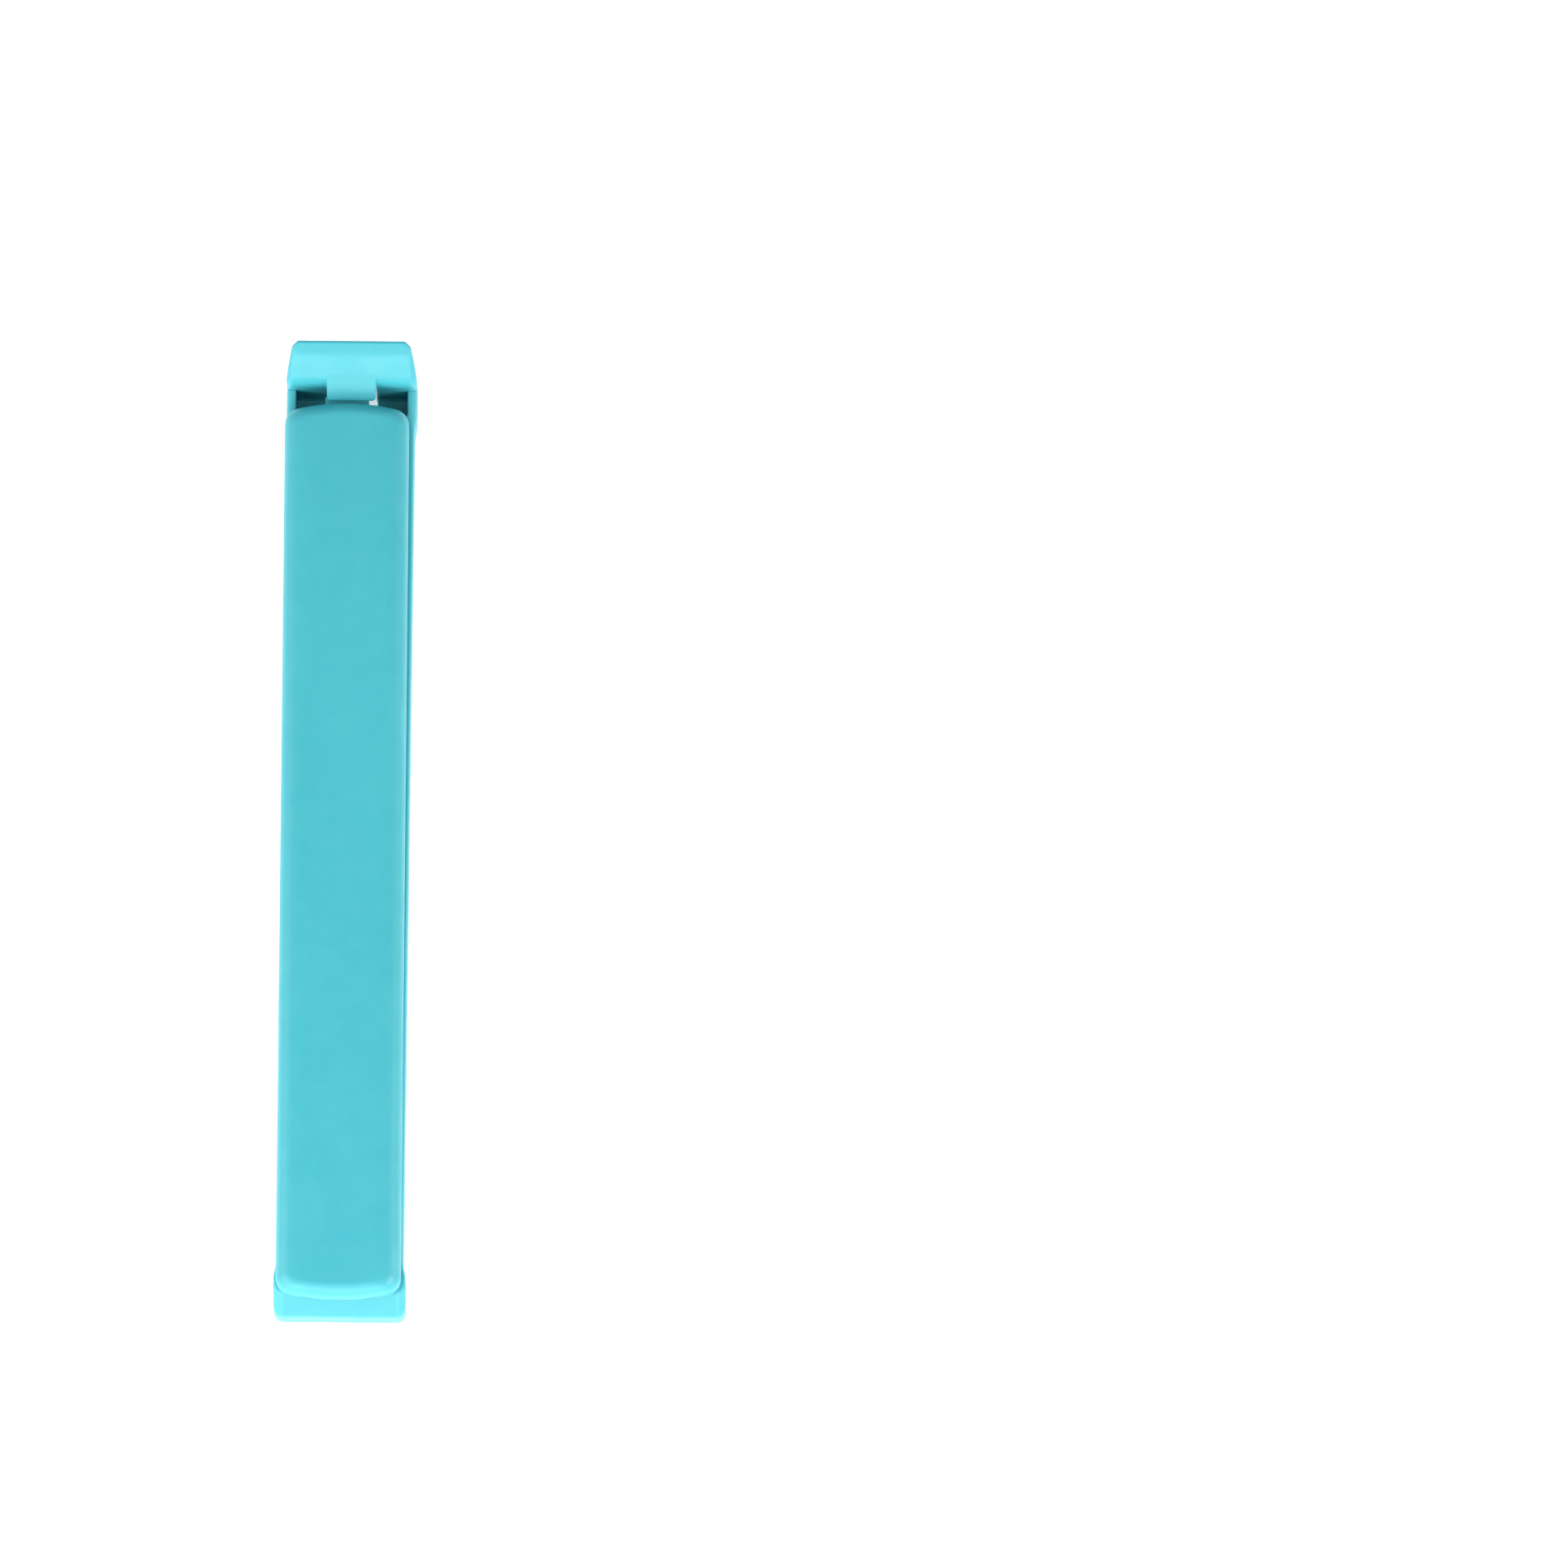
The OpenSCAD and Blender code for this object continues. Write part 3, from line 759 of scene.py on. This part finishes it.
def noise_at(tree, vector, scale, detail, stretch=(1, 1, 1), seed=0.0, roughness=0.5):
    """A noise texture on a stretched and shifted vector."""
    m = tree.nodes.new("ShaderNodeMapping")
    m.inputs["Scale"].default_value = stretch
    m.inputs["Location"].default_value = (seed, seed * 0.7, -seed)
    tree.links.new(vector, m.inputs["Vector"])
    n = tree.nodes.new("ShaderNodeTexNoise")
    n.inputs["Scale"].default_value = scale
    n.inputs["Detail"].default_value = detail
    n.inputs["Roughness"].default_value = roughness
    tree.links.new(m.outputs["Vector"], n.inputs["Vector"])
    return n.outputs["Fac"]


def polypropylene(name, seed, base, pale, deep, grain_to=None):
    """Satin polypropylene: colour drift, glossier edges with a painted highlight, hair scratches, specks
    and a fine grain.
    """
    mat = bpy.data.materials.new(name)
    mat.use_nodes = True
    tree = mat.node_tree
    shader = tree.nodes["Principled BSDF"]
    place = tree.nodes.new("ShaderNodeTexCoord").outputs["Object"]
    shift = Vector((seed * 0.013, seed * 0.029, seed * 0.017))
    moved = tree.nodes.new("ShaderNodeVectorMath")
    moved.operation = "ADD"
    moved.inputs[1].default_value = shift
    tree.links.new(place, moved.inputs[0])
    at = moved.outputs[0]

    drift = noise_at(tree, at, 55, 3, (1, 0.45, 1))
    mottle = noise_at(tree, at, 420, 4)
    hairs = [noise_at(tree, at, 1, 2, s, seed + i, 0.55) for i, s in enumerate(
        ((5200, 160, 900), (240, 4300, 900), (3400, 700, 3400)))]
    scratch = None
    for h in hairs:
        line = ramp(tree, h, 0.66, 0.74)
        scratch = line if scratch is None else math_node(tree, "MAXIMUM", scratch, line)
    patchy = ramp(tree, noise_at(tree, at, 120, 2, seed=seed + 5), 0.45, 0.7)
    scratch = math_node(tree, "MULTIPLY", scratch, patchy)

    dots = tree.nodes.new("ShaderNodeTexVoronoi")
    dots.inputs["Scale"].default_value = 620
    tree.links.new(at, dots.inputs["Vector"])
    chance = tree.nodes.new("ShaderNodeSeparateColor")
    tree.links.new(dots.outputs["Color"], chance.inputs[0])
    speck = math_node(tree, "MULTIPLY", ramp(tree, dots.outputs["Distance"], 0.05, 0.10, 1, 0),
                      math_node(tree, "GREATER_THAN", chance.outputs[0], 0.93))

    # convex edges, found by pointiness, are mixed towards the pale colour as a painted highlight, and are
    # made a little less rough
    edge = tree.nodes.new("ShaderNodeNewGeometry").outputs["Pointiness"]
    edge_sheen = ramp(tree, edge, 0.52, 0.62)

    def mix(fac, a, b):
        n = tree.nodes.new("ShaderNodeMix")
        n.data_type = "RGBA"
        tree.links.new(fac, n.inputs[0])
        for socket, value in ((n.inputs[6], a), (n.inputs[7], b)):
            if isinstance(value, tuple):
                socket.default_value = (*value, 1)
            else:
                tree.links.new(value, socket)
        return n.outputs[2]

    colour = mix(ramp(tree, drift, 0.3, 0.7), deep, base)
    colour = mix(math_node(tree, "MULTIPLY", ramp(tree, mottle, 0.35, 0.7), 0.12), colour, pale)
    # painted highlight: the convex edges lightened towards the pale colour
    colour = mix(math_node(tree, "MULTIPLY", edge_sheen, 0.35), colour, pale)
    colour = mix(math_node(tree, "MULTIPLY", scratch, 0.35), colour, pale)
    colour = mix(math_node(tree, "MULTIPLY", speck, 0.30), colour, tuple(c * 0.55 for c in deep))
    tree.links.new(colour, shader.inputs["Base Color"])

    rough = ramp(tree, noise_at(tree, at, 260, 4, seed=seed + 9), 0.3, 0.7, 0.36, 0.46)
    rough = math_node(tree, "ADD", rough, math_node(tree, "MULTIPLY", scratch, 0.12))
    rough = math_node(tree, "SUBTRACT", rough, math_node(tree, "MULTIPLY", edge_sheen, 0.06))
    tree.links.new(rough, shader.inputs["Roughness"])

    grain = noise_at(tree, at, 5200, 2, seed=seed + 2)
    wave = noise_at(tree, at, 300, 2, seed=seed + 3)
    height = math_node(tree, "MULTIPLY", grain, 0.0022)
    height = math_node(tree, "ADD", height, math_node(tree, "MULTIPLY", wave, 0.003))
    height = math_node(tree, "SUBTRACT", height, math_node(tree, "MULTIPLY", scratch, 0.003))
    if grain_to is not None:
        # the spark-eroded grain of the end face, up to a station along Y, over a painted shade that
        # darkens the whole face
        axis = tree.nodes.new("ShaderNodeSeparateXYZ")
        tree.links.new(place, axis.inputs[0])
        near_end = ramp(tree, axis.outputs["Y"], grain_to - 0.2 * MM, grain_to, 1, 0)
        above_heel = ramp(tree, axis.outputs["Z"], HEEL_TOP - 0.6 * MM, HEEL_TOP + 0.3 * MM)
        inside = math_node(tree, "MULTIPLY", near_end, above_heel)
        across = math_node(tree, "ABSOLUTE", axis.outputs["X"])
        off_edge = ramp(tree, across, BASE_W / 2 - 1.2 * MM, BASE_W / 2 - 0.9 * MM, 1, 0)
        inside = math_node(tree, "MULTIPLY", inside, off_edge)
        pits = noise_at(tree, at, 3800, 3, seed=seed + 4, roughness=0.6)
        height = math_node(tree, "ADD", height,
                           math_node(tree, "MULTIPLY", math_node(tree, "MULTIPLY", pits, inside), 0.05))
        rough = math_node(tree, "ADD", rough, math_node(tree, "MULTIPLY", inside, 0.12))
        tree.links.new(rough, shader.inputs["Roughness"])
        # the whole end face is mixed at least 0.3 towards a darker colour, a painted shade that dims this
        # slope, with more of it where the pit noise is low
        grain_and_shade = math_node(tree, "MULTIPLY", inside, ramp(tree, pits, 0.3, 0.7, 0.55, 0.3))
        tree.links.new(mix(grain_and_shade, colour, tuple(c * 0.84 for c in deep)), shader.inputs["Base Color"])
    bump = tree.nodes.new("ShaderNodeBump")
    bump.inputs["Strength"].default_value = 1.0
    bump.inputs["Distance"].default_value = MM
    tree.links.new(height, bump.inputs["Height"])
    tree.links.new(bump.outputs["Normal"], shader.inputs["Normal"])

    shader.inputs["IOR"].default_value = 1.49
    shader.inputs["Specular IOR Level"].default_value = 0.5
    shader.inputs["Subsurface Weight"].default_value = 0.3
    shader.inputs["Subsurface Radius"].default_value = (0.35, 0.9, 1.0)
    shader.inputs["Subsurface Scale"].default_value = 0.8 * MM
    return mat


BASE = (0.053, 0.405, 0.470)
PALE = (0.088, 0.485, 0.545)
DEEP = (0.048, 0.388, 0.452)
for piece, seed, body, names in ((upper, 1, "upper_jaw", ("upper_jaw",)),
                                 (lower, 2, "lower_jaw", ("lower_jaw",)),
                                 (catch, 3, "latch", ("latch",))):
    piece.data.materials.clear()
    grain_to = FOOT_Y + 2.35 * MM if body == "lower_jaw" else None
    piece.data.materials.append(polypropylene(body + "_polypropylene", seed, BASE, PALE, DEEP, grain_to))
    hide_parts(*names)
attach(upper, "upper_jaw")
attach(lower, "lower_jaw")
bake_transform(catch)


# ---------------------------------------------------------------- floor, light and camera
FLOOR_GLOW = 0.45
WORLD_GLOW = 0.45


def table():
    """The plain pale floor."""
    bm = bmesh.new()
    bmesh.ops.create_grid(bm, x_segments=1, y_segments=1, size=3.0)
    floor = to_object("table", bm)
    floor.location = (0, 0, -0.02 * MM)
    mat = bpy.data.materials.new("table_paper")
    mat.use_nodes = True
    tree = mat.node_tree
    shader = tree.nodes["Principled BSDF"]
    at = tree.nodes.new("ShaderNodeTexCoord").outputs["Object"]
    cloud = ramp(tree, noise_at(tree, at, 14, 3), 0.3, 0.7, 0.895, 0.915)
    colour = tree.nodes.new("ShaderNodeCombineColor")
    for socket in colour.inputs[:3]:
        tree.links.new(cloud, socket)
    tree.links.new(colour.outputs[0], shader.inputs["Base Color"])
    shader.inputs["Roughness"].default_value = 0.9
    shader.inputs["Specular IOR Level"].default_value = 0.2
    shader.inputs["Emission Color"].default_value = (1, 1, 1, 1)
    shader.inputs["Emission Strength"].default_value = FLOOR_GLOW
    floor.data.materials.append(mat)


def soft_light(name, place, aim, width, height, watts):
    """A rectangular white area light that faces a point."""
    data = bpy.data.lights.new(name, "AREA")
    data.shape, data.size, data.size_y = "RECTANGLE", width, height
    data.energy = watts
    obj = bpy.data.objects.new(name, data)
    obj.location = place
    obj.rotation_mode = "QUATERNION"
    obj.rotation_quaternion = (Vector(aim) - Vector(place)).to_track_quat("-Z", "Y")
    bpy.context.scene.collection.objects.link(obj)


table()
middle = (cad_lo + cad_hi) / 2
soft_light("front_softbox", (-0.08, -0.56, 0.20), middle, 0.9, 0.22, 2.95)
soft_light("key_softbox", (-0.03, -0.25, 0.27), middle, 0.3, 0.3, 0.36)
soft_light("left_softbox", (-0.50, -0.18, 0.33), middle, 0.5, 0.25, 2.75)
soft_light("right_softbox", (0.50, -0.18, 0.33), middle, 0.5, 0.25, 2.65)

world = bpy.data.worlds.new("studio")
world.use_nodes = True
world.node_tree.nodes["Background"].inputs[0].default_value = (1, 1, 1, 1)
world.node_tree.nodes["Background"].inputs[1].default_value = WORLD_GLOW
bpy.context.scene.world = world

ELEVATION, LEAN, DISTANCE, LENS = 78.9, 0.566, 2.20, 449.7
ASIDE, ABOVE = 49.23 * MM, 5.26 * MM
e, roll = math.radians(ELEVATION), math.radians(LEAN)
back = Vector((0, -math.cos(e), math.sin(e)))
turn = (-back).to_track_quat("-Z", "Y")
turn = turn @ Matrix.Rotation(roll, 3, "Z").to_quaternion()
aim = middle + turn @ Vector((ASIDE, ABOVE, 0))
lens = bpy.data.cameras.new("camera")
lens.lens, lens.sensor_width, lens.sensor_fit = LENS, 36, "AUTO"
lens.clip_start, lens.clip_end = 0.05, 20
camera = bpy.data.objects.new("camera", lens)
camera.rotation_mode = "QUATERNION"
camera.rotation_quaternion = turn
camera.location = aim + back * DISTANCE
bpy.context.scene.collection.objects.link(camera)
bpy.context.scene.camera = camera
bpy.context.scene.view_settings.view_transform = "Standard"
